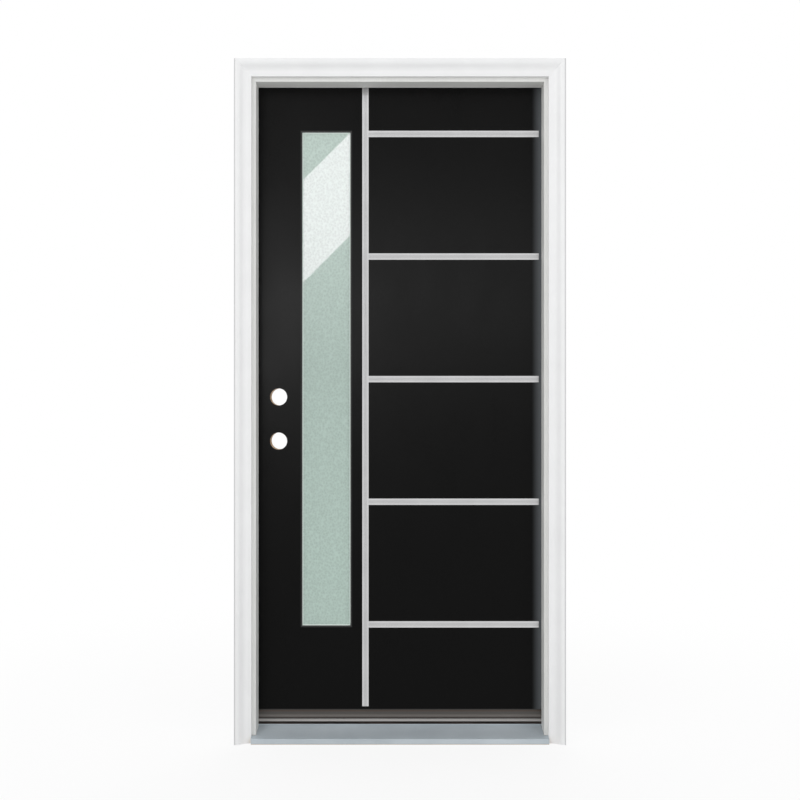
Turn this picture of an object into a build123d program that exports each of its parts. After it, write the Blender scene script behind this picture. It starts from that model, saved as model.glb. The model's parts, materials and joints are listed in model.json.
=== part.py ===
from build123d import *
import math
import os

os.makedirs("parts", exist_ok=True)

# Prehung entrance door in millimetres. +Z is up, +X is towards the hinges and -Y is outdoors.
# The origin lies under the middle of the sill, in the plane where the outdoor edges of the
# jambs meet the back of the brickmould.

# Door leaf
LEAF_W = 908.0
LEAF_T = 44.5
LEAF_TOP = 2054.0
LEAF_BOTTOM = 52.0
SKIN_T = 3.0
EDGE_BEVEL = 3.0  # degrees, on the lock edge
HINGE_STILE_W = 34.0
RAIL_H = 38.0

# Jambs
REVEAL = 5.3
JAMB_DEPTH = 115.9
JAMB_THIN = 17.5
RABBET_W = 50.8
RABBET_STEP = 12.7
ARRIS_R = 1.5

# Brickmould: a sloping flat at the doorway, a swept curve, a level band at the outer edge
MOULD_W = 50.8
MOULD_T = 31.75
MOULD_THIN = 14.5
MOULD_FLAT_RISE = 3.6
MOULD_BAND_W = 12.6
MOULD_CURVE_W = 16.4
MOULD_CURVE_R = 20.0
MOULD_ROUND = 1.2

# Sill
NOSE_Y, NOSE_Z = -28.0, 17.0
DAM_Z = 31.0
CAP_SEAT_W = 45.9  # from the dam to the indoor edge
DAM_TOP = 35.0
TREAD_T = 2.4
WALL_T = 2.0
CHANNEL_FLOOR = 14.0
CAP_TOP = 38.0
CAP_SIDE_GAP = 0.6
RIB_COUNT = 12
RIB_GROOVE = 3.2
RIB_DEPTH = 0.9

# Weatherstrip
SEAL_W = 12.0
SEAL_T = 4.2
KERF_IN = 3.0
KERF_W = 3.0
KERF_DEPTH = 9.0

# Glass, placed from the lock edge and the top of the leaf
GLASS_W = 152.0
GLASS_H = 1561.0
GLASS_FROM_LOCK_EDGE = 145.0
GLASS_FROM_TOP = 147.0
BEAD_W = 5.0
BEAD_SETBACK = 0.5
GLASS_RECESS = 6.0
PANE_T = 4.0
UNIT_T = 25.4
SPACER_W = 7.0

# Inlaid metal trim
TRIM_W = 20.0
TRIM_T = 1.8
TRIM_PROUD = 0.6
TRIM_FROM_GLASS = 37.6
TRIM_TOP_GAP = 6.0
TRIM_BOTTOM = 91.0
BAR_FROM_HINGE_EDGE = 15.0
BAR_FROM_TOP = (152.0, 540.0, 928.0, 1316.0, 1704.0)
BAR_NAMES = ("top", "upper", "middle", "lower", "bottom")

# Lock holes
BACKSET = 69.85
BORE_R = 27.0
EDGE_BORE_R = 12.7
LATCH_Z = 930.0
BORE_SPACING = 139.7
FACE_PLATE_W, FACE_PLATE_H, FACE_PLATE_T = 25.4, 57.15, 3.0

# Strike cutouts in the latch jamb
BOLT_PLATE_W, BOLT_PLATE_H = 28.6, 57.0
LIP_PLATE_H = 54.0
PLATE_DEPTH = 1.6
BOLT_POCKET_W, BOLT_POCKET_H = 16.0, 29.0
LATCH_POCKET_W, LATCH_POCKET_H, LATCH_POCKET_DEPTH = 16.0, 24.0, 13.0

# Hinges
HINGE_H = 101.6
HINGE_LEAF_T = 2.5
HINGE_LEAF_W = 50.8
HINGE_AXIS_OUT = 12.6
KNUCKLE_R = 6.2
KNUCKLES = 5
KNUCKLE_GAP = 0.4
PIN_R = 3.2
PIN_CLEARANCE = 0.05
PIN_HEAD_R = 5.4
PIN_HEAD_H = 3.0
HINGE_FROM_TOP = 177.8
HINGE_FROM_BOTTOM = 148.6
SCREW_R = 2.7
HINGE_NAMES = ("top", "middle", "bottom")

# Door shoe and sweep
SHOE_TOP = 82.0
SHOE_BULGE = 1.0
SHOE_WEB_T = 3.0
SWEEP_TIP = 43.0
SWEEP_T = 2.5

# Derived places
RABBET_X = LEAF_W / 2 + REVEAL
STOP_X = RABBET_X - RABBET_STEP
JAMB_X = RABBET_X + JAMB_THIN
STOP_DEPTH = JAMB_DEPTH - RABBET_W
DAM_Y = JAMB_DEPTH - CAP_SEAT_W
HEAD_Z = LEAF_TOP + REVEAL
LEAF_OUT = JAMB_DEPTH - LEAF_T
LEAF_IN = JAMB_DEPTH
CORE_OUT = LEAF_OUT + SKIN_T
CORE_IN = LEAF_IN - SKIN_T
CORE_BOTTOM = LEAF_BOTTOM + SHOE_WEB_T
LOCK_EDGE = -LEAF_W / 2
HINGE_EDGE = LEAF_W / 2
LOCK_Y = (LEAF_OUT + LEAF_IN) / 2
BORE_X = LOCK_EDGE + BACKSET
DEADBOLT_Z = LATCH_Z + BORE_SPACING
GLASS_X = LOCK_EDGE + GLASS_FROM_LOCK_EDGE + GLASS_W / 2
GLASS_Z = LEAF_TOP - GLASS_FROM_TOP - GLASS_H / 2
HOLE_W = GLASS_W + 2 * BEAD_W
HOLE_H = GLASS_H + 2 * BEAD_W
UNIT_OUT = LEAF_OUT + GLASS_RECESS
UNIT_IN = UNIT_OUT + UNIT_T
TRIM_TOP = LEAF_TOP - TRIM_TOP_GAP
TRIM_X = GLASS_X + GLASS_W / 2 + TRIM_FROM_GLASS + TRIM_W / 2
BAR_END_X = HINGE_EDGE - BAR_FROM_HINGE_EDGE
BAR_X0 = TRIM_X + TRIM_W / 2
BAR_Z = [LEAF_TOP - drop for drop in BAR_FROM_TOP]
AXIS_X = HINGE_EDGE + REVEAL / 2
AXIS_Y = LEAF_IN + HINGE_AXIS_OUT
HINGE_TOP_Z = LEAF_TOP - HINGE_FROM_TOP - HINGE_H / 2
HINGE_BOTTOM_Z = LEAF_BOTTOM + HINGE_FROM_BOTTOM + HINGE_H / 2
HINGE_Z = [HINGE_TOP_Z, (HINGE_TOP_Z + HINGE_BOTTOM_Z) / 2, HINGE_BOTTOM_Z]
HINGE_Y0 = AXIS_Y - HINGE_LEAF_W
RAIL_X0 = LOCK_EDGE + GLASS_FROM_LOCK_EDGE - BEAD_W
RAIL_X1 = HINGE_EDGE - HINGE_STILE_W
BEVEL = Plane(
    origin=(LOCK_EDGE, LEAF_IN, 0),
    z_dir=(math.cos(math.radians(EDGE_BEVEL)), math.sin(math.radians(EDGE_BEVEL)), 0),
)


def crest(y):
    """Height of the tread's walking line at depth y."""
    return NOSE_Z + (y - NOSE_Y) * (DAM_Z - NOSE_Z) / (DAM_Y - NOSE_Y)


def block(x0, x1, y0, y1, z0, z1, mode=Mode.ADD):
    """Box between two corners, added to or cut from the part being built."""
    with Locations(((x0 + x1) / 2, (y0 + y1) / 2, (z0 + z1) / 2)):
        Box(x1 - x0, y1 - y0, z1 - z0, mode=mode)


# Side jambs: rabbeted section, stop cut to the slope of the sill, kerf for the weatherstrip
def side_jamb(side):
    with BuildPart() as jamb:
        with BuildSketch():
            with BuildLine():
                Polyline(
                    (side * STOP_X, 0),
                    (side * JAMB_X, 0),
                    (side * JAMB_X, JAMB_DEPTH),
                    (side * RABBET_X, JAMB_DEPTH),
                    (side * RABBET_X, STOP_DEPTH),
                    (side * STOP_X, STOP_DEPTH),
                    close=True,
                )
            make_face()
            inner = vertices().filter_by(lambda v: abs(abs(v.X) - STOP_X) < 0.1)
            fillet(inner, radius=ARRIS_R)
        extrude(amount=HEAD_Z)
        with BuildSketch(Plane.YZ):
            with BuildLine():
                Polyline(
                    (-10, -10),
                    (STOP_DEPTH + 5, -10),
                    (STOP_DEPTH + 5, crest(STOP_DEPTH + 5)),
                    (-10, crest(-10)),
                    close=True,
                )
            make_face()
        extrude(amount=side * RABBET_X, mode=Mode.SUBTRACT)
        kerf_x = side * (RABBET_X - KERF_IN - KERF_W / 2)
        with Locations((kerf_x, STOP_DEPTH - KERF_DEPTH / 2, HEAD_Z / 2)):
            Box(KERF_W, KERF_DEPTH, HEAD_Z, mode=Mode.SUBTRACT)
    return jamb.part


with BuildPart() as hinge_jamb:
    add(side_jamb(1))
    for z in HINGE_Z:
        block(RABBET_X, RABBET_X + HINGE_LEAF_T, HINGE_Y0, JAMB_DEPTH,
              z - HINGE_H / 2, z + HINGE_H / 2, mode=Mode.SUBTRACT)

with BuildPart() as latch_jamb:
    add(side_jamb(-1))
    with BuildSketch(Plane.YZ.offset(-RABBET_X)):
        with Locations((LOCK_Y, DEADBOLT_Z)):
            RectangleRounded(BOLT_PLATE_W, BOLT_PLATE_H, 4.0)
        lip_y0 = LOCK_Y - BOLT_PLATE_W / 2
        lip_w = JAMB_DEPTH + 10 - lip_y0
        with Locations((lip_y0 + lip_w / 2, LATCH_Z)):
            RectangleRounded(lip_w, LIP_PLATE_H, 6.0)
    extrude(amount=-PLATE_DEPTH, mode=Mode.SUBTRACT)
    with BuildSketch(Plane.YZ.offset(-RABBET_X)):
        with Locations((LOCK_Y, DEADBOLT_Z)):
            Rectangle(BOLT_POCKET_W, BOLT_POCKET_H)
    extrude(amount=-JAMB_THIN, mode=Mode.SUBTRACT)
    with BuildSketch(Plane.YZ.offset(-RABBET_X)):
        with Locations((LOCK_Y, LATCH_Z)):
            Rectangle(LATCH_POCKET_W, LATCH_POCKET_H)
    extrude(amount=-LATCH_POCKET_DEPTH, mode=Mode.SUBTRACT)

# Head jamb: lies on the side jambs, its stop fits between theirs
with BuildPart() as head_jamb:
    with BuildSketch(Plane.YZ.offset(-JAMB_X)):
        with Locations((JAMB_DEPTH / 2, HEAD_Z + JAMB_THIN / 2)):
            Rectangle(JAMB_DEPTH, JAMB_THIN)
    extrude(amount=2 * JAMB_X)
    with BuildSketch(Plane.YZ.offset(-STOP_X)):
        with Locations((STOP_DEPTH / 2, HEAD_Z - RABBET_STEP / 2)):
            Rectangle(STOP_DEPTH, RABBET_STEP)
        low = vertices().filter_by(lambda v: v.Z < HEAD_Z - 1)
        fillet(low, radius=ARRIS_R)
    extrude(amount=2 * STOP_X)
    block(-STOP_X, STOP_X, STOP_DEPTH - KERF_DEPTH, STOP_DEPTH,
          HEAD_Z - KERF_IN - KERF_W, HEAD_Z - KERF_IN, mode=Mode.SUBTRACT)

# Brickmould: one section, mitred at the head
band_x = MOULD_W - MOULD_BAND_W
flat_x = band_x - MOULD_CURVE_W
with BuildSketch() as mould_section:
    with BuildLine():
        Polyline(
            (0, 0),
            (0, MOULD_THIN),
            (flat_x, MOULD_THIN + MOULD_FLAT_RISE),
            (band_x, MOULD_T),
            (MOULD_W, MOULD_T),
            (MOULD_W, 0),
            close=True,
        )
    make_face()
    fillet(vertices().filter_by(lambda v: flat_x - 0.1 < v.X < band_x + 0.1), radius=MOULD_CURVE_R)
    fillet(vertices().filter_by(lambda v: v.X > MOULD_W - 0.1 and v.Y > MOULD_T - 0.1), radius=MOULD_ROUND)

MITRE_RIGHT = Plane(origin=(RABBET_X, 0, HEAD_Z), z_dir=(1, 0, -1))
MITRE_LEFT = Plane(origin=(-RABBET_X, 0, HEAD_Z), z_dir=(-1, 0, -1))

with BuildPart() as brickmould_hinge_side:
    with BuildSketch(Plane(origin=(RABBET_X, 0, 0), x_dir=(1, 0, 0), z_dir=(0, 0, -1))):
        add(mould_section.sketch)
    extrude(amount=-(HEAD_Z + MOULD_W))
    split(bisect_by=MITRE_RIGHT, keep=Keep.TOP)

with BuildPart() as brickmould_latch_side:
    with BuildSketch(Plane(origin=(-RABBET_X, 0, 0), x_dir=(-1, 0, 0), z_dir=(0, 0, 1))):
        add(mould_section.sketch)
    extrude(amount=HEAD_Z + MOULD_W)
    split(bisect_by=MITRE_LEFT, keep=Keep.TOP)

with BuildPart() as brickmould_head:
    head_left = -(RABBET_X + MOULD_W)
    with BuildSketch(Plane(origin=(head_left, 0, HEAD_Z), x_dir=(0, 0, 1), z_dir=(1, 0, 0))):
        add(mould_section.sketch)
    extrude(amount=-2 * head_left)
    split(bisect_by=MITRE_RIGHT, keep=Keep.BOTTOM)
    split(bisect_by=MITRE_LEFT, keep=Keep.BOTTOM)

# Sill: solid core, ribbed tread with a channel, cap lying in the channel
CORE_Y0 = NOSE_Y + TREAD_T
with BuildPart() as sill_core:
    with BuildSketch(Plane.YZ.offset(-RABBET_X)):
        with BuildLine():
            Polyline(
                (CORE_Y0, 0),
                (CORE_Y0, crest(CORE_Y0) - TREAD_T),
                (DAM_Y, DAM_Z - TREAD_T),
                (DAM_Y, CHANNEL_FLOOR - WALL_T),
                (JAMB_DEPTH, CHANNEL_FLOOR - WALL_T),
                (JAMB_DEPTH, 0),
                close=True,
            )
        make_face()
    extrude(amount=2 * RABBET_X)

rib_run = DAM_Y - NOSE_Y - 8.0
rib_pitch = rib_run / RIB_COUNT
rib_line = []
for i in range(RIB_COUNT):
    start = NOSE_Y + 5.0 + i * rib_pitch
    rib_line.append((start, crest(start)))
    rib_line.append((start + 0.6, crest(start + 0.6) - RIB_DEPTH))
    rib_line.append((start + RIB_GROOVE - 0.6, crest(start + RIB_GROOVE - 0.6) - RIB_DEPTH))
    rib_line.append((start + RIB_GROOVE, crest(start + RIB_GROOVE)))

with BuildPart() as sill_tread:
    with BuildSketch(Plane.YZ.offset(-RABBET_X)):
        with BuildLine():
            Polyline(
                (NOSE_Y, 2.0),
                (NOSE_Y, NOSE_Z - 1.6),
                (NOSE_Y + 1.6, crest(NOSE_Y + 1.6)),
                *rib_line,
                (DAM_Y, DAM_Z),
                (DAM_Y, DAM_TOP),
                (DAM_Y + WALL_T, DAM_TOP),
                (DAM_Y + WALL_T, CHANNEL_FLOOR),
                (JAMB_DEPTH - WALL_T, CHANNEL_FLOOR),
                (JAMB_DEPTH - WALL_T, DAM_TOP - 2),
                (JAMB_DEPTH, DAM_TOP - 2),
                (JAMB_DEPTH, CHANNEL_FLOOR - WALL_T),
                (DAM_Y, CHANNEL_FLOOR - WALL_T),
                (DAM_Y, DAM_Z - TREAD_T),
                (CORE_Y0, crest(CORE_Y0) - TREAD_T),
                (CORE_Y0, 2.0),
                close=True,
            )
        make_face()
    extrude(amount=2 * RABBET_X)

with BuildPart() as threshold_cap:
    cap_y0 = DAM_Y + WALL_T + CAP_SIDE_GAP
    cap_y1 = JAMB_DEPTH - WALL_T - CAP_SIDE_GAP
    with BuildSketch(Plane.YZ.offset(-RABBET_X)):
        with BuildLine():
            Polyline(
                (cap_y0, CHANNEL_FLOOR),
                (cap_y0, CAP_TOP - 1.0),
                (cap_y0 + 6, CAP_TOP),
                (cap_y1 - 6, CAP_TOP),
                (cap_y1, CAP_TOP - 1.0),
                (cap_y1, CHANNEL_FLOOR),
                close=True,
            )
        make_face()
        fillet(vertices().filter_by(lambda v: v.Z > CAP_TOP - 1.5), radius=0.9)
    extrude(amount=2 * RABBET_X)

# Weatherstrips: a soft strip in the rabbet corner with a leg in the kerf
with BuildSketch() as seal_section:
    with Locations((SEAL_W / 2, SEAL_T / 2)):
        Rectangle(SEAL_W, SEAL_T)
    fillet(vertices().filter_by(lambda v: v.Y > SEAL_T - 0.1), radius=1.8)

with BuildSketch() as seal_leg:
    with Locations((KERF_IN + KERF_W / 2, -KERF_DEPTH / 2)):
        Rectangle(KERF_W, KERF_DEPTH)

SEAL_BOTTOM = crest(STOP_DEPTH + SEAL_T) + 1.0
SIDE_SEAL_H = HEAD_Z - SEAL_W - SEAL_BOTTOM

with BuildPart() as weatherstrip_hinge_side:
    with BuildSketch(Plane(origin=(RABBET_X, STOP_DEPTH, SEAL_BOTTOM), x_dir=(-1, 0, 0), z_dir=(0, 0, -1))):
        add(seal_section.sketch)
        add(seal_leg.sketch)
    extrude(amount=-SIDE_SEAL_H)

with BuildPart() as weatherstrip_latch_side:
    with BuildSketch(Plane(origin=(-RABBET_X, STOP_DEPTH, SEAL_BOTTOM), x_dir=(1, 0, 0), z_dir=(0, 0, 1))):
        add(seal_section.sketch)
        add(seal_leg.sketch)
    extrude(amount=SIDE_SEAL_H)

with BuildPart() as weatherstrip_head:
    with BuildSketch(Plane(origin=(-RABBET_X, STOP_DEPTH, HEAD_Z), x_dir=(0, 0, -1), z_dir=(1, 0, 0))):
        add(seal_section.sketch)
    extrude(amount=2 * RABBET_X)
    with BuildSketch(Plane(origin=(-STOP_X, STOP_DEPTH, HEAD_Z), x_dir=(0, 0, -1), z_dir=(1, 0, 0))):
        add(seal_leg.sketch)
    extrude(amount=2 * STOP_X)


# Skins of the leaf: glass opening, lock holes, shallow grooves for the trim, bevelled lock edge
def skin(face_y, inward):
    with BuildPart() as sheet:
        with BuildSketch(Plane.XZ.offset(-face_y)):
            with Locations((0, (SHOE_TOP + LEAF_TOP) / 2)):
                Rectangle(LEAF_W, LEAF_TOP - SHOE_TOP)
            with Locations((GLASS_X, GLASS_Z)):
                Rectangle(HOLE_W, HOLE_H, mode=Mode.SUBTRACT)
            with Locations((BORE_X, LATCH_Z), (BORE_X, DEADBOLT_Z)):
                Circle(BORE_R, mode=Mode.SUBTRACT)
        extrude(amount=-inward * SKIN_T)
        with BuildSketch(Plane.XZ.offset(-face_y)):
            with Locations((TRIM_X, (TRIM_BOTTOM + TRIM_TOP) / 2)):
                Rectangle(TRIM_W, TRIM_TOP - TRIM_BOTTOM)
            with Locations(*[((BAR_X0 + BAR_END_X) / 2, z) for z in BAR_Z]):
                Rectangle(BAR_END_X - BAR_X0, TRIM_W)
        extrude(amount=-inward * (TRIM_T - TRIM_PROUD), mode=Mode.SUBTRACT)
        split(bisect_by=BEVEL, keep=Keep.TOP)
    return sheet.part


def cut_hinge_mortises():
    """Seats for the door leaves of the three hinges, in the hinge edge."""
    for z in HINGE_Z:
        block(HINGE_EDGE - HINGE_LEAF_T, HINGE_EDGE, HINGE_Y0, LEAF_IN,
              z - HINGE_H / 2, z + HINGE_H / 2, mode=Mode.SUBTRACT)


with BuildPart() as skin_exterior:
    add(skin(LEAF_OUT, 1))

with BuildPart() as skin_interior:
    add(skin(LEAF_IN, -1))
    cut_hinge_mortises()

# Wood inside the leaf: stiles full height, rails between them. The latch stile is wide, as it
# carries the lock holes, and ends at the glass.
with BuildPart() as latch_stile:
    with BuildSketch(Plane.XZ.offset(-CORE_OUT)):
        with Locations(((LOCK_EDGE + RAIL_X0) / 2, (CORE_BOTTOM + LEAF_TOP) / 2)):
            Rectangle(RAIL_X0 - LOCK_EDGE, LEAF_TOP - CORE_BOTTOM)
        with Locations((BORE_X, LATCH_Z), (BORE_X, DEADBOLT_Z)):
            Circle(BORE_R, mode=Mode.SUBTRACT)
    extrude(amount=-(CORE_IN - CORE_OUT))
    for z in (LATCH_Z, DEADBOLT_Z):
        with Locations(Location((LOCK_EDGE + BACKSET / 2, LOCK_Y, z), (0, 90, 0))):
            Cylinder(EDGE_BORE_R, BACKSET, mode=Mode.SUBTRACT)
        block(LOCK_EDGE - 5, LOCK_EDGE + FACE_PLATE_T, LOCK_Y - FACE_PLATE_W / 2, LOCK_Y + FACE_PLATE_W / 2,
              z - FACE_PLATE_H / 2, z + FACE_PLATE_H / 2, mode=Mode.SUBTRACT)
    split(bisect_by=BEVEL, keep=Keep.TOP)

with BuildPart() as hinge_stile:
    block(RAIL_X1, HINGE_EDGE, CORE_OUT, CORE_IN, CORE_BOTTOM, LEAF_TOP)
    cut_hinge_mortises()

with BuildPart() as top_rail:
    block(RAIL_X0, RAIL_X1, CORE_OUT, CORE_IN, LEAF_TOP - RAIL_H, LEAF_TOP)

with BuildPart() as bottom_rail:
    block(RAIL_X0, RAIL_X1, CORE_OUT, CORE_IN, CORE_BOTTOM, CORE_BOTTOM + RAIL_H)

with BuildPart() as foam_core:
    with BuildSketch(Plane.XZ.offset(-CORE_OUT)):
        with Locations(((RAIL_X0 + RAIL_X1) / 2, (CORE_BOTTOM + LEAF_TOP) / 2)):
            Rectangle(RAIL_X1 - RAIL_X0, LEAF_TOP - CORE_BOTTOM - 2 * RAIL_H)
        with Locations((GLASS_X, GLASS_Z)):
            Rectangle(HOLE_W, HOLE_H, mode=Mode.SUBTRACT)
    extrude(amount=-(CORE_IN - CORE_OUT))


# Glass unit: two panes on a spacer, held by a thin bead at either face
def glass_layer(y0, y1, inset=0.0, rim=0.0):
    with BuildPart() as layer:
        with BuildSketch(Plane.XZ.offset(-y0)):
            with Locations((GLASS_X, GLASS_Z)):
                Rectangle(HOLE_W - 2 * inset, HOLE_H - 2 * inset)
                if rim > 0:
                    Rectangle(HOLE_W - 2 * rim, HOLE_H - 2 * rim, mode=Mode.SUBTRACT)
        extrude(amount=-(y1 - y0))
    return layer.part


with BuildPart() as glazing_bead_exterior:
    add(glass_layer(LEAF_OUT + BEAD_SETBACK, UNIT_OUT, rim=BEAD_W))

with BuildPart() as glass_outer:
    add(glass_layer(UNIT_OUT, UNIT_OUT + PANE_T))

with BuildPart() as glass_spacer:
    add(glass_layer(UNIT_OUT + PANE_T, UNIT_IN - PANE_T, rim=SPACER_W))

with BuildPart() as glass_inner:
    add(glass_layer(UNIT_IN - PANE_T, UNIT_IN))

with BuildPart() as glazing_bead_interior:
    add(glass_layer(UNIT_IN, LEAF_IN - BEAD_SETBACK, rim=BEAD_W))


# Metal trim: one upright strip and bars butting against it, let into the skin
def trim_upright(face_y, inward):
    y0 = face_y - inward * TRIM_PROUD
    with BuildPart() as strip:
        with BuildSketch(Plane.XZ.offset(-y0)):
            with Locations((TRIM_X, (TRIM_BOTTOM + TRIM_TOP) / 2)):
                Rectangle(TRIM_W, TRIM_TOP - TRIM_BOTTOM)
        extrude(amount=-inward * TRIM_T)
    return strip.part


def trim_bars(face_y, inward, heights):
    y0 = face_y - inward * TRIM_PROUD
    with BuildPart() as bars:
        with BuildSketch(Plane.XZ.offset(-y0)):
            with Locations(*[((BAR_X0 + BAR_END_X) / 2, z) for z in heights]):
                Rectangle(BAR_END_X - BAR_X0, TRIM_W)
        extrude(amount=-inward * TRIM_T)
    return bars.part


with BuildPart() as trim_upright_exterior:
    add(trim_upright(LEAF_OUT, 1))

with BuildPart() as trim_upright_interior:
    add(trim_upright(LEAF_IN, -1))

with BuildPart() as trim_bars_interior:
    add(trim_bars(LEAF_IN, -1, BAR_Z))

exterior_bars = []
for name, height in zip(BAR_NAMES, BAR_Z):
    with BuildPart() as bar:
        add(trim_bars(LEAF_OUT, 1, [height]))
    bar.part.label = "trim_bar_" + name
    exterior_bars.append(bar.part)

# Door shoe: a channel around the bottom of the leaf, its outdoor leg bulging a little
with BuildPart() as door_shoe:
    with BuildSketch(Plane.YZ.offset(LOCK_EDGE)):
        with BuildLine():
            Line((LEAF_OUT, SHOE_TOP), (LEAF_OUT, SHOE_TOP - 5))
            ThreePointArc(
                (LEAF_OUT, SHOE_TOP - 5),
                (LEAF_OUT - SHOE_BULGE, (SHOE_TOP + LEAF_BOTTOM) / 2 - 5),
                (LEAF_OUT, LEAF_BOTTOM),
            )
            Polyline(
                (LEAF_OUT, LEAF_BOTTOM),
                (LEAF_IN, LEAF_BOTTOM),
                (LEAF_IN, SHOE_TOP),
                (CORE_IN, SHOE_TOP),
                (CORE_IN, CORE_BOTTOM),
                (CORE_OUT, CORE_BOTTOM),
                (CORE_OUT, SHOE_TOP),
                (LEAF_OUT, SHOE_TOP),
            )
        make_face()
    extrude(amount=LEAF_W)
    split(bisect_by=BEVEL, keep=Keep.TOP)

# Sweep: two fins under the shoe, joined by a strip
with BuildPart() as sweep_fin:
    with BuildSketch(Plane.YZ.offset(LOCK_EDGE)):
        with BuildLine():
            Polyline(
                (LEAF_OUT + 2, LEAF_BOTTOM),
                (LEAF_OUT + 1, SWEEP_TIP),
                (LEAF_OUT + 1 + SWEEP_T, SWEEP_TIP),
                (LEAF_OUT + 2 + SWEEP_T, LEAF_BOTTOM - 2),
                (LEAF_IN - 2 - SWEEP_T, LEAF_BOTTOM - 2),
                (LEAF_IN - 4 - SWEEP_T, SWEEP_TIP),
                (LEAF_IN - 4, SWEEP_TIP),
                (LEAF_IN - 2, LEAF_BOTTOM),
                close=True,
            )
        make_face()
    extrude(amount=LEAF_W)
    split(bisect_by=BEVEL, keep=Keep.TOP)


# Butt hinges: the jamb leaf carries the outer and middle knuckles, the door leaf those between
def hinge_leaf(side, z):
    """side is 1 for the leaf in the jamb and -1 for the leaf on the door."""
    plate_x0 = AXIS_X + side * REVEAL / 2
    pitch = HINGE_H / KNUCKLES
    z0 = z - HINGE_H / 2
    own = range(0, KNUCKLES, 2) if side == 1 else range(1, KNUCKLES, 2)
    other = range(1, KNUCKLES, 2) if side == 1 else range(0, KNUCKLES, 2)
    with BuildPart() as leaf:
        with BuildSketch(Plane.XY.offset(z0)):
            with Locations((plate_x0 + side * HINGE_LEAF_T / 2, (HINGE_Y0 + AXIS_Y - 4) / 2)):
                Rectangle(HINGE_LEAF_T, AXIS_Y - 4 - HINGE_Y0)
        extrude(amount=HINGE_H)
        for i in other:
            block(AXIS_X - 20, AXIS_X + 20, AXIS_Y - KNUCKLE_R - 1.0, AXIS_Y + 5,
                  z0 + i * pitch - KNUCKLE_GAP / 2, z0 + (i + 1) * pitch + KNUCKLE_GAP / 2,
                  mode=Mode.SUBTRACT)
        for i in own:
            low = 0 if i == 0 else KNUCKLE_GAP / 2
            high = 0 if i == KNUCKLES - 1 else KNUCKLE_GAP / 2
            with BuildSketch(Plane.XY.offset(z0 + i * pitch + low)):
                with Locations((AXIS_X, AXIS_Y)):
                    Circle(KNUCKLE_R)
            extrude(amount=pitch - low - high)
        with BuildSketch(Plane.XY.offset(z0)):
            with Locations((AXIS_X, AXIS_Y)):
                Circle(PIN_R + PIN_CLEARANCE)
        extrude(amount=HINGE_H, mode=Mode.SUBTRACT)
        seen = Plane(origin=(plate_x0, 0, z), x_dir=(0, 1, 0), z_dir=(-side, 0, 0))
        rows = [(HINGE_Y0 + 11.0 + 14.0 * (i % 2), -37.0 + i * 24.7) for i in range(4)]
        with Locations(seen):
            with Locations(*[(y, -side * drop) for y, drop in rows]):
                Hole(SCREW_R, depth=HINGE_LEAF_T * 2)
    return leaf.part


def hinge_pin(z):
    with BuildPart() as pin:
        with BuildSketch(Plane.XY.offset(z - HINGE_H / 2 - 1.5)):
            with Locations((AXIS_X, AXIS_Y)):
                Circle(PIN_R)
        extrude(amount=HINGE_H + 1.5)
        with BuildSketch(Plane.XY.offset(z + HINGE_H / 2)):
            with Locations((AXIS_X, AXIS_Y)):
                Circle(PIN_HEAD_R)
        extrude(amount=PIN_HEAD_H)
        chamfer(pin.edges().filter_by(GeomType.CIRCLE).sort_by(Axis.Z)[-1], length=1.0)
    return pin.part


hinge_parts = []
for name, z in zip(HINGE_NAMES, HINGE_Z):
    for label, solid in (
        ("hinge_leaf_jamb_" + name, hinge_leaf(1, z)),
        ("hinge_leaf_door_" + name, hinge_leaf(-1, z)),
        ("hinge_pin_" + name, hinge_pin(z)),
    ):
        solid.label = label
        hinge_parts.append(solid)

hinge_jamb.part.label = "hinge_jamb"
latch_jamb.part.label = "latch_jamb"
head_jamb.part.label = "head_jamb"
brickmould_hinge_side.part.label = "brickmould_hinge_side"
brickmould_latch_side.part.label = "brickmould_latch_side"
brickmould_head.part.label = "brickmould_head"
sill_core.part.label = "sill_core"
sill_tread.part.label = "sill_tread"
threshold_cap.part.label = "threshold_cap"
weatherstrip_hinge_side.part.label = "weatherstrip_hinge_side"
weatherstrip_latch_side.part.label = "weatherstrip_latch_side"
weatherstrip_head.part.label = "weatherstrip_head"
skin_exterior.part.label = "skin_exterior"
skin_interior.part.label = "skin_interior"
latch_stile.part.label = "latch_stile"
hinge_stile.part.label = "hinge_stile"
top_rail.part.label = "top_rail"
bottom_rail.part.label = "bottom_rail"
foam_core.part.label = "foam_core"
glazing_bead_exterior.part.label = "glazing_bead_exterior"
glass_outer.part.label = "glass_outer"
glass_spacer.part.label = "glass_spacer"
glass_inner.part.label = "glass_inner"
glazing_bead_interior.part.label = "glazing_bead_interior"
trim_upright_exterior.part.label = "trim_upright_exterior"
trim_upright_interior.part.label = "trim_upright_interior"
trim_bars_interior.part.label = "trim_bars_interior"
door_shoe.part.label = "door_shoe"
sweep_fin.part.label = "sweep_fin"

pieces = [
    hinge_jamb.part,
    latch_jamb.part,
    head_jamb.part,
    brickmould_hinge_side.part,
    brickmould_latch_side.part,
    brickmould_head.part,
    sill_core.part,
    sill_tread.part,
    threshold_cap.part,
    weatherstrip_hinge_side.part,
    weatherstrip_latch_side.part,
    weatherstrip_head.part,
    skin_exterior.part,
    skin_interior.part,
    latch_stile.part,
    hinge_stile.part,
    top_rail.part,
    bottom_rail.part,
    foam_core.part,
    glazing_bead_exterior.part,
    glass_outer.part,
    glass_spacer.part,
    glass_inner.part,
    glazing_bead_interior.part,
    trim_upright_exterior.part,
    trim_upright_interior.part,
    trim_bars_interior.part,
    door_shoe.part,
    sweep_fin.part,
]
pieces.extend(exterior_bars)
pieces.extend(hinge_parts)

for piece in pieces:
    export_step(piece, "parts/" + piece.label + ".step")
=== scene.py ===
import json
import math

import bmesh
import bpy
from mathutils import Matrix, Vector


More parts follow.
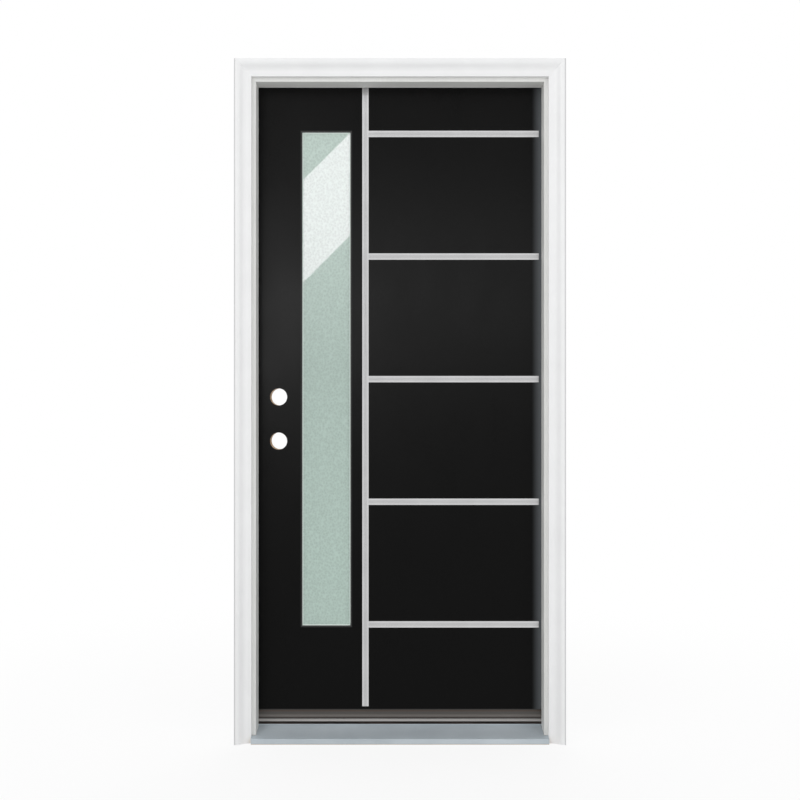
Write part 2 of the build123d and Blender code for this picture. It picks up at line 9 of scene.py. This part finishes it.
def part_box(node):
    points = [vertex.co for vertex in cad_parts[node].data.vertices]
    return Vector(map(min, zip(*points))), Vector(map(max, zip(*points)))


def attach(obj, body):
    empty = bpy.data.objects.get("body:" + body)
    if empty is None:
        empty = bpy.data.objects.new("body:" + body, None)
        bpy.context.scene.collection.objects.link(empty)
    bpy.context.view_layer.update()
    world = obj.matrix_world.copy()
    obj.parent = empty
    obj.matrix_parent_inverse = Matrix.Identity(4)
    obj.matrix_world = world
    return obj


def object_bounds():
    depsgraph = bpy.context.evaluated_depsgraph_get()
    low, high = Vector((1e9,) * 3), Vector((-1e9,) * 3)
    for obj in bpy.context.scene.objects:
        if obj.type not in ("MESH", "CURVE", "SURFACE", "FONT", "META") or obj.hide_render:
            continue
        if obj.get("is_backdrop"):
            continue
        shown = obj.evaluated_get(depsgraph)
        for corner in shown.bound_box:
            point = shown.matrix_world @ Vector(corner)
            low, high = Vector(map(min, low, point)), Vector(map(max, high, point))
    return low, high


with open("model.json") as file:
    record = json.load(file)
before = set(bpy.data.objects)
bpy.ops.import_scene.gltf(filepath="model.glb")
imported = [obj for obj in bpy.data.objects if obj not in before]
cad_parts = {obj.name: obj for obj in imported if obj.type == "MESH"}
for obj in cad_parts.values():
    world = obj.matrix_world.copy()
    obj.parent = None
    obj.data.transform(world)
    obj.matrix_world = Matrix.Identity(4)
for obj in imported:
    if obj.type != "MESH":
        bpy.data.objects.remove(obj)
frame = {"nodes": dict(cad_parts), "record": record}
cad_lo, cad_hi = (list(v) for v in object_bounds())
scene = bpy.context.scene

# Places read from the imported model, in metres: X across the door, Y inwards, Z up
LEAF_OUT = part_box("skin_exterior")[0][1]
RABBET_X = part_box("sill_core")[1][0]
JAMB_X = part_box("hinge_jamb")[1][0]
JAMB_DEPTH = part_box("hinge_jamb")[1][1]
HEAD_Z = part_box("hinge_jamb")[1][2]
MOULD_X, MOULD_FRONT = cad_hi[0], cad_lo[1]
SHOE_LO, SHOE_HI = (corner[2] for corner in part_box("door_shoe"))
UPRIGHT_X = sum(corner[0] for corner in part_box("trim_upright_exterior")) / 2
BAR_Z = sum(corner[2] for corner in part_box("trim_bar_top")) / 2
BAR_PITCH = BAR_Z - sum(corner[2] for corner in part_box("trim_bar_upper")) / 2
TRIM_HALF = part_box("trim_bar_top")[1][2] - BAR_Z
GLASS_LO, GLASS_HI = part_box("glass_outer")
GLASS_IN_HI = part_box("glass_inner")[1]

# Places where paint changes
NEAR = 0.0003  # a face this close to a plane lies on it
SKIN_DEEP = 0.001  # outer layer of the outdoor skin, which alone carries the painted sheen at the hinge edge
SHEEN_FROM, SHEEN_TO, SHEEN_CURVE = 0.417, 0.4485, 1.25  # fade to a painted sheen, a pale painted highlight along the hinge edge of the leaf
LIP_FROM, LIP_TO = 0.4500, 0.4512  # painted highlight line on the fold at that edge
TINT_LO, TINT_HI = 0.34, 1.91  # heights between which the glass tint shifts
FOOT_Z, FOOT_SLOPE = 0.0214, 0.142857  # plane just above the stop's sloped foot, rising indoors
CORNER_SHADE_FROM, CORNER_SHADE_TO = MOULD_X - 0.005, MOULD_X - 0.0025  # painted shade along the outer corner of the side brickmould
CORNER_SHADE_DEEP = 0.003  # how far back that painted shade reaches

# Visible edge of the glass
BEAD = 0.005  # what the bead covers of the pane
EDGE_RISE, EDGE_WIDE = 0.0016, 0.0026

# Hinge screws
SCREW_R, SCREW_RISE, SCREW_SIDES, SCREW_TURN = 0.0044, 0.0003, 24, 17.0
CROSS_ARM, CROSS_HALF, CROSS_DEEP, CROSS_TAPER = 0.0026, 0.00075, 0.0009, 0.8
SCREW_IN, SCREW_ZIGZAG = 0.011, 0.014  # from the edge of the hinge leaf, along Y
SCREW_FIRST, SCREW_PITCH = 0.037, 0.0247  # below the middle of the hinge, and up from there
SCREW_SUNK = 0.0001  # into the hinge leaf

# Studio
FLOOR_SIZE, FLOOR_Z = 120.0, -0.0005  # just under the sill
FADE_FROM, FADE_TO, FADE_GLOW = 0.7, 2.6, 0.86  # the floor turns white between these distances
AMBIENT = 0.76  # strength of the world as a light
EYE = Vector((0.0, -3.4, 1.06))
SENSOR = 36.0  # millimetres
PICTURE, PIXEL = 800, 0.003165  # pixels across, and what one spans on the face of the leaf


class Shader:
    """A material, with short ways to add nodes in front of its Principled BSDF."""

    def __init__(self, name):
        self.mat = bpy.data.materials.new(name)
        self.mat.use_nodes = True
        self.tree = self.mat.node_tree
        self.bsdf = self.tree.nodes["Principled BSDF"]
        self.coord = self.node("ShaderNodeTexCoord").outputs["Object"]

    def node(self, kind, **props):
        n = self.tree.nodes.new(kind)
        for k, v in props.items():
            setattr(n, k, v)
        return n

    def link(self, a, b):
        self.tree.links.new(a, b)

    def put(self, **values):
        for key, value in values.items():
            self.bsdf.inputs[key.replace("_", " ")].default_value = value

    def mapped(self, stretch):
        m = self.node("ShaderNodeMapping")
        m.inputs["Scale"].default_value = stretch
        self.link(self.coord, m.inputs["Vector"])
        return m.outputs["Vector"]

    def noise(self, scale=1.0, stretch=None, detail=3.0, rough=0.5):
        n = self.node("ShaderNodeTexNoise")
        n.inputs["Scale"].default_value = scale
        n.inputs["Detail"].default_value = detail
        n.inputs["Roughness"].default_value = rough
        self.link(self.mapped(stretch) if stretch else self.coord, n.inputs["Vector"])
        return n.outputs["Fac"]

    def ramp(self, fac, stops):
        r = self.node("ShaderNodeValToRGB")
        els = r.color_ramp.elements
        while len(els) < len(stops):
            els.new(0.5)
        for e, (pos, col) in zip(els, stops):
            e.position = pos
            e.color = (*col, 1.0)
        self.link(fac, r.inputs["Fac"])
        return r.outputs["Color"]

    def tone(self, noise, low, high):
        """Colour that follows a noise, whose values lie mostly between 0.3 and 0.7."""
        return self.ramp(noise, [(0.3, low), (0.7, high)])

    def span(self, value, lo, hi, to_lo=0.0, to_hi=1.0, smooth=False):
        m = self.node("ShaderNodeMapRange")
        if smooth:
            m.interpolation_type = "SMOOTHSTEP"
        m.inputs["From Min"].default_value = lo
        m.inputs["From Max"].default_value = hi
        m.inputs["To Min"].default_value = to_lo
        m.inputs["To Max"].default_value = to_hi
        self.link(value, m.inputs["Value"])
        return m.outputs["Result"]

    def vary(self, noise, low, high):
        """Number that follows a noise in the same way as tone."""
        return self.span(noise, 0.3, 0.7, low, high)

    def math(self, op, a, b=None):
        m = self.node("ShaderNodeMath", operation=op)
        for i, v in enumerate((a, b)):
            if v is None:
                continue
            if isinstance(v, (int, float)):
                m.inputs[i].default_value = v
            else:
                self.link(v, m.inputs[i])
        return m.outputs["Value"]

    def join(self, op, first, *others):
        """Several values taken together: MULTIPLY for masks that all hold, MAXIMUM for any of them."""
        for other in others:
            first = self.math(op, first, other)
        return first

    def blend(self, a, part_a, b, part_b):
        return self.math("ADD", self.math("MULTIPLY", a, part_a), self.math("MULTIPLY", b, part_b))

    def mix(self, fac, a, b, mode="MIX"):
        m = self.node("ShaderNodeMix", data_type="RGBA", blend_type=mode)
        if isinstance(fac, (int, float)):
            m.inputs["Factor"].default_value = fac
        else:
            self.link(fac, m.inputs["Factor"])
        for socket, v in ((m.inputs[6], a), (m.inputs[7], b)):
            if isinstance(v, tuple):
                socket.default_value = (*v, 1.0)
            else:
                self.link(v, socket)
        return m.outputs[2]

    def xyz(self):
        s = self.node("ShaderNodeSeparateXYZ")
        self.link(self.coord, s.inputs["Vector"])
        return s.outputs["X"], s.outputs["Y"], s.outputs["Z"]

    def bump(self, height, strength, distance, under=None):
        b = self.node("ShaderNodeBump")
        b.inputs["Strength"].default_value = strength
        b.inputs["Distance"].default_value = distance
        self.link(height, b.inputs["Height"])
        if under is not None:
            self.link(under, b.inputs["Normal"])
        return b.outputs["Normal"]

    def color(self, socket):
        self.link(socket, self.bsdf.inputs["Base Color"])

    def rough(self, socket):
        self.link(socket, self.bsdf.inputs["Roughness"])

    def normal(self, socket):
        self.link(socket, self.bsdf.inputs["Normal"])


def skin_black():
    s = Shader("skin_black")
    x, y, _ = s.xyz()
    fine = s.noise(750, detail=4, rough=0.65)
    broad = s.noise(9, stretch=(1, 1, 0.5))
    base = s.ramp(fine, [(0.25, (0.0018, 0.0018, 0.0018)), (0.75, (0.0042, 0.0041, 0.004))])
    # Painted sheen: the outdoor skin turns pale towards the hinge edge, with a paler painted highlight line
    # on its fold
    outer = s.math("LESS_THAN", y, LEAF_OUT + SKIN_DEEP)
    pale = s.math("MULTIPLY", s.span(x, SHEEN_FROM, SHEEN_TO), outer)
    base = s.mix(s.math("POWER", pale, SHEEN_CURVE), base, (0.13, 0.139, 0.148))
    lip = s.math("MULTIPLY", s.span(x, LIP_FROM, LIP_TO), outer)
    s.color(s.mix(lip, base, (0.13, 0.138, 0.145)))
    s.rough(s.math("ADD", s.vary(broad, 0.27, 0.33), s.vary(fine, -0.03, 0.03)))
    s.put(Specular_IOR_Level=0.065)
    s.normal(s.bump(broad, 0.05, 0.002, s.bump(fine, 0.22, 0.00012)))
    return s.mat


def trim_stainless(name, along):
    s = Shader(name)
    hair = s.noise(stretch=tuple(9.0 if axis == along else 1400.0 for axis in "xyz"), detail=5, rough=0.7)
    cloud = s.noise(14, detail=2)
    x, _, z = s.xyz()
    # Distance from the strip's middle line, because its two edges are painted paler than the middle, as a
    # painted highlight
    if along == "z":
        off = s.math("ABSOLUTE", s.math("SUBTRACT", x, UPRIGHT_X))
    else:
        off = s.math("PINGPONG", s.math("SUBTRACT", z, BAR_Z), BAR_PITCH / 2)
    edge_highlight = s.span(off, TRIM_HALF * 0.25, TRIM_HALF * 0.75, 0.95, 1.15, smooth=True)
    metal = s.tone(s.blend(hair, 0.6, cloud, 0.4), (0.49, 0.49, 0.495), (0.59, 0.59, 0.595))
    grey = s.node("ShaderNodeCombineColor")
    for channel in grey.inputs:
        s.link(edge_highlight, channel)
    s.color(s.mix(1.0, metal, grey.outputs["Color"], "MULTIPLY"))
    s.rough(s.vary(hair, 0.2, 0.32))
    s.put(Metallic=1.0)
    s.normal(s.bump(hair, 0.12, 0.0001))
    return s.mat


def glass_obscure():
    s = Shader("glass_obscure")
    _, _, z = s.xyz()
    pebble = s.node("ShaderNodeTexVoronoi", feature="SMOOTH_F1")
    pebble.inputs["Scale"].default_value = 165
    pebble.inputs["Smoothness"].default_value = 0.6
    s.link(s.mapped((1, 1, 0.85)), pebble.inputs["Vector"])
    cells = pebble.outputs["Distance"]
    grit = s.noise(420, detail=4, rough=0.6)
    tint = s.ramp(s.span(z, TINT_LO, TINT_HI, smooth=True),
                  [(0.0, (0.58, 0.735, 0.66)), (0.55, (0.53, 0.665, 0.6)), (1.0, (0.655, 0.795, 0.725))])
    shade = s.ramp(s.blend(cells, 0.55, grit, 0.5),
                   [(0.25, (0.765, 0.785, 0.775)), (0.7, (1.02, 1.02, 1.02))])
    s.color(s.mix(1.0, tint, shade, "MULTIPLY"))
    s.put(Roughness=0.45, IOR=1.45, Specular_IOR_Level=0.3, Transmission_Weight=0.25,
          Coat_Weight=1.0, Coat_Roughness=0.015, Coat_IOR=1.5)
    s.normal(s.bump(grit, 0.3, 0.0003, s.bump(cells, 0.55, 0.0007)))
    return s.mat


def glass_rim_highlight():
    s = Shader("glass_rim_highlight")
    grit = s.noise(500, detail=2)
    # Paler than the pane: a painted highlight along the edge of the glass
    s.color(s.tone(grit, (0.76, 0.88, 0.81), (0.86, 0.96, 0.9)))
    s.put(Roughness=0.18, Coat_Weight=1.0, Coat_Roughness=0.05)
    s.normal(s.bump(grit, 0.1, 0.0002))
    return s.mat


def wood_nodes(s, light, dark, along="z"):
    """Colour and fibre of wood whose grain runs along one axis."""
    stretch = tuple(1.5 if axis == along else 26 for axis in "xyz")
    ring = s.node("ShaderNodeTexWave", wave_type="BANDS", bands_direction="DIAGONAL")
    ring.inputs["Scale"].default_value = 1.6
    ring.inputs["Distortion"].default_value = 5.0
    ring.inputs["Detail"].default_value = 3.0
    ring.inputs["Detail Scale"].default_value = 1.2
    s.link(s.mapped(stretch), ring.inputs["Vector"])
    fibre = s.noise(stretch=tuple(v * 22 for v in stretch), detail=4, rough=0.7)
    return s.ramp(s.blend(ring.outputs["Fac"], 0.6, fibre, 0.45), [(0.2, light), (0.85, dark)]), fibre


def jamb_primed():
    s = Shader("jamb_primed")
    x, y, z = s.xyz()
    streak = s.noise(stretch=(160, 160, 3), detail=4, rough=0.6)
    cloud = s.noise(7, detail=4)
    paint = s.tone(s.blend(streak, 0.5, cloud, 0.5), (0.76, 0.76, 0.735), (0.82, 0.82, 0.8))
    bare, fibre = wood_nodes(s, (0.56, 0.4, 0.22), (0.4, 0.25, 0.11))
    # Bare wood in the cutouts, on the sloped foot of the stop and under the feet
    across = s.math("ABSOLUTE", x)
    cutout = s.join("MULTIPLY",
                    s.math("GREATER_THAN", across, RABBET_X + NEAR),
                    s.math("LESS_THAN", across, JAMB_X - NEAR),
                    s.math("LESS_THAN", y, JAMB_DEPTH - NEAR),
                    s.math("GREATER_THAN", y, NEAR),
                    s.math("LESS_THAN", z, HEAD_Z + NEAR))
    slope = s.math("SUBTRACT", z, s.math("ADD", FOOT_Z, s.math("MULTIPLY", y, FOOT_SLOPE)))
    foot = s.math("MULTIPLY", s.math("LESS_THAN", slope, 0.0), s.math("LESS_THAN", across, RABBET_X - NEAR))
    s.color(s.mix(s.join("MAXIMUM", cutout, foot, s.math("LESS_THAN", z, NEAR)), paint, bare))
    s.rough(s.vary(cloud, 0.46, 0.56))
    s.put(Specular_IOR_Level=0.4)
    s.normal(s.bump(fibre, 0.08, 0.0002, s.bump(streak, 0.12, 0.0004)))
    return s.mat


def brickmould_white():
    s = Shader("brickmould_white")
    cloud = s.noise(11, detail=4)
    orange = s.noise(420, detail=2)
    white = s.tone(cloud, (0.866, 0.867, 0.868), (0.896, 0.897, 0.898))
    x, y, _ = s.xyz()
    # Painted shade: a grey line along the outer corner of the side pieces, where the side face turns from
    # the light
    corner = s.math("MULTIPLY", s.span(s.math("ABSOLUTE", x), CORNER_SHADE_FROM, CORNER_SHADE_TO),
                    s.math("LESS_THAN", y, MOULD_FRONT + CORNER_SHADE_DEEP))
    s.color(s.mix(corner, white, (0.6, 0.602, 0.605)))
    s.rough(s.vary(orange, 0.34, 0.42))
    s.normal(s.bump(orange, 0.08, 0.0002))
    return s.mat


def weatherstrip():
    s = Shader("weatherstrip_white")
    foam = s.noise(380, detail=5, rough=0.7)
    wrinkle = s.noise(30, stretch=(1, 1, 6))
    s.color(s.tone(wrinkle, (0.8, 0.8, 0.775), (0.87, 0.87, 0.85)))
    s.put(Roughness=0.8, Sheen_Weight=0.15, Sheen_Roughness=0.5)
    s.normal(s.bump(wrinkle, 0.15, 0.001, s.bump(foam, 0.3, 0.0003)))
    return s.mat


def tread_aluminium():
    s = Shader("tread_aluminium")
    hair = s.noise(stretch=(7, 1300, 1300), detail=4, rough=0.7)
    cloud = s.noise(5)
    s.color(s.tone(cloud, (0.46, 0.51, 0.545), (0.55, 0.6, 0.635)))
    s.rough(s.vary(hair, 0.5, 0.62))
    s.put(Metallic=0.7, Specular_IOR_Level=0.3)
    s.normal(s.bump(hair, 0.15, 0.0001))
    return s.mat


def cap_brown():
    s = Shader("cap_brown")
    col, fibre = wood_nodes(s, (0.062, 0.043, 0.033), (0.012, 0.009, 0.008), along="x")
    s.color(col)
    s.rough(s.vary(fibre, 0.42, 0.6))
    s.normal(s.bump(fibre, 0.5, 0.0004))
    return s.mat


def shoe_bronze():
    s = Shader("shoe_bronze")
    _, _, z = s.xyz()
    cloud = s.noise(stretch=(3, 40, 40), detail=4)
    fine = s.noise(600, detail=2)
    # Bronze colour by height with painted light, from the bottom: a dark lip of painted shadow, then a pale
    # band of painted highlight, darker upwards, a reddish line and a dark upper edge
    bronze_and_painted_light = s.ramp(s.span(z, SHOE_LO, SHOE_HI),
                  [(0.0, (0.014, 0.008, 0.006)), (0.09, (0.03, 0.018, 0.013)), (0.14, (0.1, 0.09, 0.083)),
                   (0.34, (0.165, 0.148, 0.135)), (0.5, (0.07, 0.062, 0.055)), (0.72, (0.05, 0.046, 0.042)),
                   (0.8, (0.07, 0.04, 0.026)), (0.9, (0.028, 0.022, 0.017)), (1.0, (0.02, 0.018, 0.015))])
    wear = s.tone(cloud, (0.88, 0.87, 0.86), (1.0, 1.0, 1.0))
    s.color(s.mix(1.0, bronze_and_painted_light, wear, "MULTIPLY"))
    s.rough(s.vary(fine, 0.3, 0.4))
    s.normal(s.bump(fine, 0.1, 0.0001))
    return s.mat


def sweep_pale():
    s = Shader("sweep_pale")
    fine = s.noise(stretch=(4, 300, 300), detail=4)
    s.color(s.tone(fine, (0.36, 0.345, 0.33), (0.45, 0.435, 0.42)))
    s.put(Roughness=0.7)
    s.normal(s.bump(fine, 0.2, 0.0003))
    return s.mat


def hinge_steel():
    s = Shader("hinge_steel")
    hair = s.noise(stretch=(900, 900, 30), detail=4, rough=0.7)
    cloud = s.noise(40)
    s.color(s.tone(cloud, (0.5, 0.5, 0.495), (0.59, 0.59, 0.585)))
    s.rough(s.vary(hair, 0.42, 0.54))
    s.put(Metallic=0.65, Specular_IOR_Level=0.3)
    s.normal(s.bump(hair, 0.1, 0.0001))
    return s.mat


def screw_steel():
    s = Shader("screw_steel")
    turn = s.noise(900)
    s.color(s.tone(turn, (0.5, 0.5, 0.5), (0.66, 0.66, 0.66)))
    s.put(Metallic=1.0, Roughness=0.3)
    s.normal(s.bump(turn, 0.1, 0.0001))
    return s.mat


def bare_wood(name, along):
    s = Shader(name)
    col, fibre = wood_nodes(s, (0.6, 0.43, 0.25), (0.42, 0.27, 0.13), along=along)
    s.color(col)
    s.rough(s.vary(fibre, 0.6, 0.75))
    s.normal(s.bump(fibre, 0.3, 0.0003))
    return s.mat


def core_foam():
    s = Shader("core_foam")
    cells = s.noise(350, detail=4, rough=0.7)
    s.color(s.tone(cells, (0.7, 0.62, 0.4), (0.82, 0.74, 0.52)))
    s.put(Roughness=0.9)
    s.normal(s.bump(cells, 0.5, 0.0005))
    return s.mat


def bead_black():
    s = Shader("bead_black")
    fine = s.noise(600)
    s.color(s.tone(fine, (0.006, 0.006, 0.006), (0.011, 0.011, 0.011)))
    s.rough(s.vary(fine, 0.4, 0.5))
    s.normal(s.bump(fine, 0.1, 0.0001))
    return s.mat


def spacer_metal():
    s = Shader("spacer_metal")
    s.color(s.tone(s.noise(stretch=(200, 200, 20)), (0.45, 0.45, 0.45), (0.6, 0.6, 0.6)))
    s.put(Metallic=1.0, Roughness=0.4)
    return s.mat


# Looks of the CAD nodes, by material slot; the upright strips are brushed the other way than the bars
upright_look = trim_stainless("trim_stainless_upright", "z")
looks = {
    "jamb_primed": jamb_primed(),
    "brickmould_white": brickmould_white(),
    "sill_core_wood": bare_wood("sill_core_wood", "x"),
    "tread_aluminium": tread_aluminium(),
    "cap_brown": cap_brown(),
    "weatherstrip_white": weatherstrip(),
    "skin_black": skin_black(),
    "stile_wood": bare_wood("stile_wood", "z"),
    "core_foam": core_foam(),
    "bead_black": bead_black(),
    "glass_obscure": glass_obscure(),
    "spacer_metal": spacer_metal(),
    "trim_stainless": trim_stainless("trim_stainless_bars", "x"),
    "shoe_bronze": shoe_bronze(),
    "sweep_pale": sweep_pale(),
    "hinge_steel": hinge_steel(),
}
slot_of = {part["node"]: part["material_slot"] for part in frame["record"]["subparts"]}

for node, obj in frame["nodes"].items():
    look = upright_look if node.startswith("trim_upright") else looks[slot_of[node]]
    for held in obj.material_slots:
        held.material = look
    if not obj.material_slots:
        obj.data.materials.append(look)


# Pieces that the CAD leaves to this script
def mesh_object(name, bm, look):
    mesh = bpy.data.meshes.new(name)
    bm.to_mesh(mesh)
    bm.free()
    mesh.materials.append(look)
    obj = bpy.data.objects.new(name, mesh)
    scene.collection.objects.link(obj)
    return obj


def piece(name, bm, look, body):
    obj = mesh_object(name, bm, look)
    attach(obj, body)


def glass_edge(name, y, out, look):
    """Polished edge of the glass: a thin bevelled ring on the pane at y, inside the bead, coloured paler
    than the pane as a painted highlight.
    """
    bm = bmesh.new()
    x0, x1 = GLASS_LO[0] + BEAD, GLASS_HI[0] - BEAD
    z0, z1 = GLASS_LO[2] + BEAD, GLASS_HI[2] - BEAD
    rings = []
    for inset, rise in ((0.0, 0.0), (0.0, EDGE_RISE), (EDGE_WIDE, 0.0)):
        yy = y + out * rise
        rings.append([bm.verts.new(c) for c in (
            (x0 + inset, yy, z0 + inset), (x1 - inset, yy, z0 + inset),
            (x1 - inset, yy, z1 - inset), (x0 + inset, yy, z1 - inset))])
    for a, b in ((0, 1), (1, 2), (2, 0)):
        for i in range(4):
            j = (i + 1) % 4
            bm.faces.new((rings[a][i], rings[a][j], rings[b][j], rings[b][i]))
    bmesh.ops.recalc_face_normals(bm, faces=bm.faces)
    piece(name, bm, look, "leaf")


rim_highlight = glass_rim_highlight()
glass_edge("glass_edge_exterior", GLASS_LO[1], -1, rim_highlight)
glass_edge("glass_edge_interior", GLASS_IN_HI[1], 1, rim_highlight)


def screw(bm, centre, facing):
    """Flat head with a cross recess; centre is on the hinge leaf's face, facing is its way along X."""
    turn = Matrix.Rotation(math.radians(SCREW_TURN * (round(centre[2] * 1000) % 7)), 4, "X")
    stand = Matrix.Rotation(math.radians(90.0 * facing), 4, "Y")
    place = Matrix.Translation(Vector(centre)) @ turn @ stand

    def ring(points, height):
        return [bm.verts.new(place @ Vector((x, y, height))) for x, y in points]

    def circle(radius):
        angles = (2 * math.pi * i / SCREW_SIDES for i in range(SCREW_SIDES))
        return [(radius * math.cos(a), radius * math.sin(a)) for a in angles]

    a, w = CROSS_ARM, CROSS_HALF
    cross = [(a, w), (w, w), (w, a), (-w, a), (-w, w), (-a, w),
             (-a, -w), (-w, -w), (-w, -a), (w, -a), (w, -w), (a, -w)]
    outer = ring(circle(SCREW_R), 0.0)
    top = ring(circle(SCREW_R - SCREW_RISE), SCREW_RISE)
    mouth = ring(cross, SCREW_RISE)
    pit = ring([(x * CROSS_TAPER, y * CROSS_TAPER) for x, y in cross], SCREW_RISE - CROSS_DEEP)
    for i in range(SCREW_SIDES):
        j = (i + 1) % SCREW_SIDES
        bm.faces.new((outer[i], outer[j], top[j], top[i]))
    corners = len(cross)
    for i in range(corners):
        j = (i + 1) % corners
        bm.faces.new((mouth[j], mouth[i], pit[i], pit[j]))
    bm.faces.new(pit[::-1])
    # The flat top: two sides of the round outline to each corner of the cross
    for i in range(corners):
        j = (i + 1) % corners
        bm.faces.new((top[2 * i], top[2 * i + 1], mouth[i]))
        bm.faces.new((top[2 * i + 1], top[(2 * i + 2) % SCREW_SIDES], mouth[j], mouth[i]))


# Four screws to each hinge leaf, in a zigzag
steel = screw_steel()
for level in ("top", "middle", "bottom"):
    for kind, body, side in (("jamb", "frame", 1), ("door", "leaf", -1)):
        node = f"hinge_leaf_{kind}_{level}"
        lo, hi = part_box(node)
        middle = (lo[2] + hi[2]) / 2
        face_x = RABBET_X if side == 1 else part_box("hinge_stile")[1][0]
        bm = bmesh.new()
        for i in range(4):
            y = lo[1] + SCREW_IN + SCREW_ZIGZAG * (i % 2)
            z = middle - SCREW_FIRST + SCREW_PITCH * i
            screw(bm, (face_x - side * SCREW_SUNK, y, z), -side)
        piece(f"hinge_screws_{kind}_{level}", bm, steel, body)


# Floor, lights and camera
def plane(name, size, place, look):
    bm = bmesh.new()
    bmesh.ops.create_grid(bm, x_segments=1, y_segments=1, size=size / 2)
    obj = mesh_object(name, bm, look)
    obj.matrix_world = place
    obj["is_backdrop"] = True


def floor_pale():
    """Pale near the door, where it keeps the shadow, and white far off and in mirror images."""
    s = Shader("floor_pale")
    s.put(Base_Color=(0.86, 0.86, 0.86, 1), Roughness=0.7)
    glow = s.node("ShaderNodeEmission")
    glow.inputs["Color"].default_value = (1, 1, 1, 1)
    away = s.node("ShaderNodeVectorMath", operation="LENGTH")
    s.link(s.coord, away.inputs[0])
    white = s.span(away.outputs["Value"], FADE_FROM, FADE_TO, FADE_GLOW, 1.0, smooth=True)
    ray = s.node("ShaderNodeLightPath").outputs
    seen = s.join("MAXIMUM", s.math("MULTIPLY", ray["Is Camera Ray"], white),
                  ray["Is Glossy Ray"], ray["Is Transmission Ray"])
    both = s.node("ShaderNodeMixShader")
    s.link(seen, both.inputs["Fac"])
    s.link(s.bsdf.outputs["BSDF"], both.inputs[1])
    s.link(glow.outputs["Emission"], both.inputs[2])
    s.link(both.outputs["Shader"], s.tree.nodes["Material Output"].inputs["Surface"])
    return s.mat


plane("floor", FLOOR_SIZE, Matrix.Translation((0, 0, FLOOR_Z)), floor_pale())


def panel(name, wide, high):
    """A rectangular lamp, not placed or lit yet."""
    data = bpy.data.lights.new(name, "AREA")
    data.shape = "RECTANGLE"
    data.size, data.size_y = wide, high
    obj = bpy.data.objects.new(name, data)
    scene.collection.objects.link(obj)
    return obj, data


def gloss_lamp(name, x, z, wide, high, turn, radiance, node, tint=(1.0, 1.0, 1.0)):
    """A panel mirrored in one node only; x, z and the size are of its mirror image on the leaf."""
    obj, data = panel(name, wide * 2, high * 2)
    data.energy = radiance * math.pi * data.size * data.size_y
    data.color = tint
    spin = Matrix.Rotation(math.radians(turn), 4, "Y")
    stand = Matrix.Rotation(math.radians(90), 4, "X")
    obj.matrix_world = Matrix.Translation((x * 2, EYE.y, EYE.z + (z - EYE.z) * 2)) @ spin @ stand
    obj.visible_camera = obj.visible_diffuse = obj.visible_transmission = False
    lit_only = bpy.data.collections.new(name + "_lights")
    lit_only.objects.link(frame["nodes"][node])
    obj.light_linking.receiver_collection = lit_only


def lamp(name, place, target, size, power):
    obj, data = panel(name, *size)
    data.energy = power
    obj.location = place
    obj.rotation_euler = (Vector(target) - Vector(place)).to_track_quat("-Z", "Y").to_euler()
    return obj


gloss_lamp("band_lamp", -0.233, 1.669, 0.9, 0.23, -45, 8.0, "glass_outer", (1.0, 0.84, 0.93))
gloss_lamp("sheen_left", -0.62, 1.325, 0.8, 0.38, 0, 9.9, "skin_exterior")
gloss_lamp("sheen_right", 0.2, 1.43, 0.8, 0.44, 0, 3.1, "skin_exterior")
lamp("key", (-2.4, -3.6, 3.4), (0, 0, 1.1), (2.2, 2.2), 42)
lamp("fill", (2.8, -3.2, 1.8), (0, 0, 1.0), (1.6, 2.6), 20)
lamp("back", (0.6, 3.4, 2.8), (0, 0.1, 1.1), (2.4, 2.4), 40).visible_glossy = False

# The world lights with AMBIENT and is white where it is seen, also in mirror images and through glass
world = bpy.data.worlds.new("studio")
scene.world = world
world.use_nodes = True
world_tree = world.node_tree
world_tree.nodes.clear()
lit = world_tree.nodes.new("ShaderNodeBackground")
lit.inputs["Color"].default_value = (0.99, 0.995, 1.0, 1)
lit.inputs["Strength"].default_value = AMBIENT
seen = world_tree.nodes.new("ShaderNodeBackground")
seen.inputs["Color"].default_value = (1, 1, 1, 1)
ray = world_tree.nodes.new("ShaderNodeLightPath")
pick = ray.outputs["Is Camera Ray"]
for kind in ("Is Transmission Ray", "Is Glossy Ray"):
    either = world_tree.nodes.new("ShaderNodeMath")
    either.operation = "MAXIMUM"
    world_tree.links.new(pick, either.inputs[0])
    world_tree.links.new(ray.outputs[kind], either.inputs[1])
    pick = either.outputs["Value"]
both = world_tree.nodes.new("ShaderNodeMixShader")
world_tree.links.new(pick, both.inputs["Fac"])
world_tree.links.new(lit.outputs["Background"], both.inputs[1])
world_tree.links.new(seen.outputs["Background"], both.inputs[2])
world_out = world_tree.nodes.new("ShaderNodeOutputWorld")
world_tree.links.new(both.outputs["Shader"], world_out.inputs["Surface"])

cam_data = bpy.data.cameras.new("camera")
camera = bpy.data.objects.new("camera", cam_data)
scene.collection.objects.link(camera)
camera.location = EYE
camera.rotation_euler = (math.radians(90), 0, 0)
cam_data.sensor_width = SENSOR
cam_data.lens = SENSOR * (LEAF_OUT - EYE.y) / (PICTURE * PIXEL)
cam_data.clip_start, cam_data.clip_end = 0.05, 100
scene.camera = camera

scene.view_settings.view_transform = "Standard"
